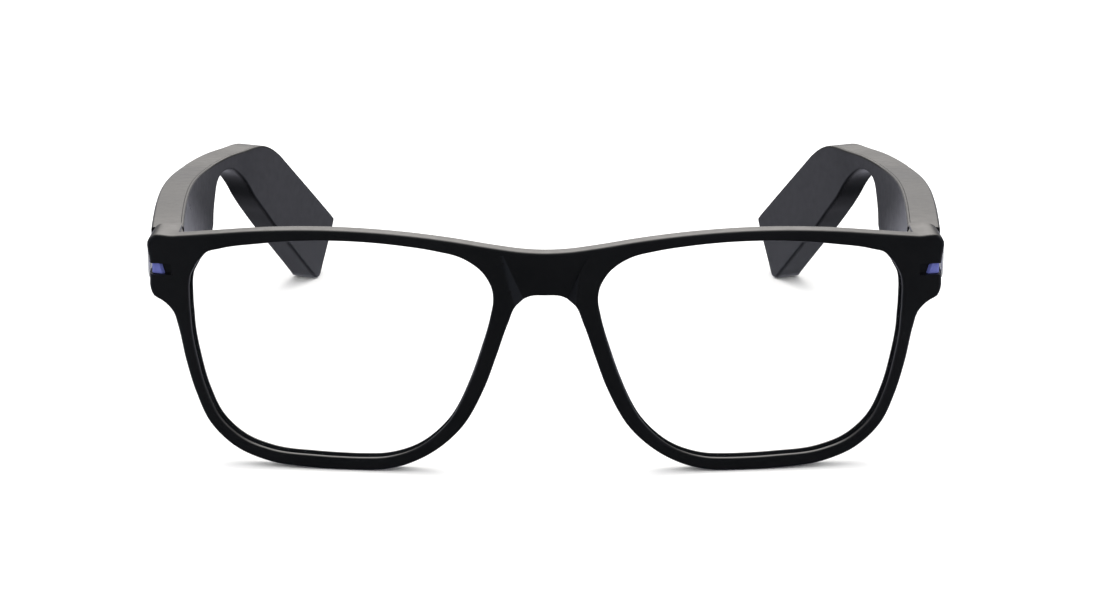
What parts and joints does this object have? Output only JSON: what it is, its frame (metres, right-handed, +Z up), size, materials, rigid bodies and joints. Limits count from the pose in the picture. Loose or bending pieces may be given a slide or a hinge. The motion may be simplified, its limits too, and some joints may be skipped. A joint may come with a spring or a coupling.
{
  "type": "smart glasses",
  "caption": "Full-rim smart glasses with large clear lenses, thick folding temples that hold the electronics, and a coloured metal inlay at each outer corner.",
  "frame": {"origin": "on the surface that the glasses stand on, under the middle of their box", "axes": "+X towards the wearer's left, +Y from the front towards the temple tips, +Z up"},
  "size_m": [0.155, 0.1434, 0.0476],
  "materials": {
    "matte_black": "fine matte moulding",
    "satin_black": "satin moulding",
    "clear_lens": "clear, hard-coated",
    "blue_anodised": "anodised blue, satin",
    "polished_steel": "polished",
    "hinge_steel": "turned and brushed",
    "shield_steel": "satin",
    "circuit_board": "solder mask",
    "cell_foil": "satin foil",
    "lead_sleeve": "satin sleeve",
    "gold_plate": "gold plated",
    "light_guide": "smoked, glossy"
  },
  "bodies": {
    "front": {"front_frame": "matte_black", "lens_right": "clear_lens", "accent_inlay_right": "blue_anodised", "side_trim_right": "polished_steel", "hinge_front_leaf_right": "hinge_steel", "hinge_front_screw_lower_right": "hinge_steel", "hinge_front_screw_upper_right": "hinge_steel", "hinge_pin_right": "hinge_steel", "lens_left": "clear_lens", "accent_inlay_left": "blue_anodised", "side_trim_left": "polished_steel", "hinge_front_leaf_left": "hinge_steel", "hinge_front_screw_lower_left": "hinge_steel", "hinge_front_screw_upper_left": "hinge_steel", "hinge_pin_left": "hinge_steel"},
    "temple_right": {"temple_shell_right": "matte_black", "temple_cover_right": "satin_black", "hinge_temple_leaf_right": "hinge_steel", "hinge_temple_screw_front_right": "hinge_steel", "hinge_temple_screw_rear_right": "hinge_steel", "main_board_right": "circuit_board", "shield_can_right": "shield_steel", "speaker_right": "satin_black", "microphone_right": "shield_steel", "speaker_grille_right": "shield_steel", "battery_right": "cell_foil", "battery_lead_right": "lead_sleeve", "charge_contact_1_right": "gold_plate", "charge_contact_2_right": "gold_plate", "button_switch_right": "circuit_board", "rocker_switch_front_right": "circuit_board", "rocker_switch_rear_right": "circuit_board", "status_light_right": "light_guide"},
    "action_button_right": {"action_button_right": "satin_black"},
    "temple_left": {"temple_shell_left": "matte_black", "temple_cover_left": "satin_black", "hinge_temple_leaf_left": "hinge_steel", "hinge_temple_screw_front_left": "hinge_steel", "hinge_temple_screw_rear_left": "hinge_steel", "main_board_left": "circuit_board", "shield_can_left": "shield_steel", "speaker_left": "satin_black", "microphone_left": "shield_steel", "speaker_grille_left": "shield_steel", "battery_left": "cell_foil", "battery_lead_left": "lead_sleeve", "charge_contact_1_left": "gold_plate", "charge_contact_2_left": "gold_plate", "button_switch_left": "circuit_board"},
    "action_button_left": {"action_button_left": "satin_black"},
    "volume_rocker_right": {"volume_rocker_right": "satin_black"}
  },
  "joints": [
    {"name": "temple_right_fold", "type": "hinge", "parent": "front", "child": "temple_right", "pos_m": [-0.06735, -0.05744, 0.039], "axis": [0, 0, -1], "range_deg": [0, 84]},
    {"name": "action_button_right_press", "type": "slide", "parent": "temple_right", "child": "action_button_right", "axis": [-0.0078, 0.0994, 0.995], "range_m": [0, 0.0004], "stiffness_N_per_m": 800},
    {"name": "temple_left_fold", "type": "hinge", "parent": "front", "child": "temple_left", "pos_m": [0.06735, -0.05744, 0.039], "axis": [0, 0, 1], "range_deg": [0, 75]},
    {"name": "action_button_left_press", "type": "slide", "parent": "temple_left", "child": "action_button_left", "axis": [0.0078, 0.0994, 0.995], "range_m": [0, 0.0004], "stiffness_N_per_m": 800},
    {"name": "volume_rocker_right_tilt", "type": "hinge", "parent": "temple_right", "child": "volume_rocker_right", "pos_m": [-0.07456, -0.01783, 0.02874], "axis": [0.9993, 0.0365, 0], "range_deg": [-2.5, 2.5], "stiffness_Nm_per_rad": 0.02}
  ]
}
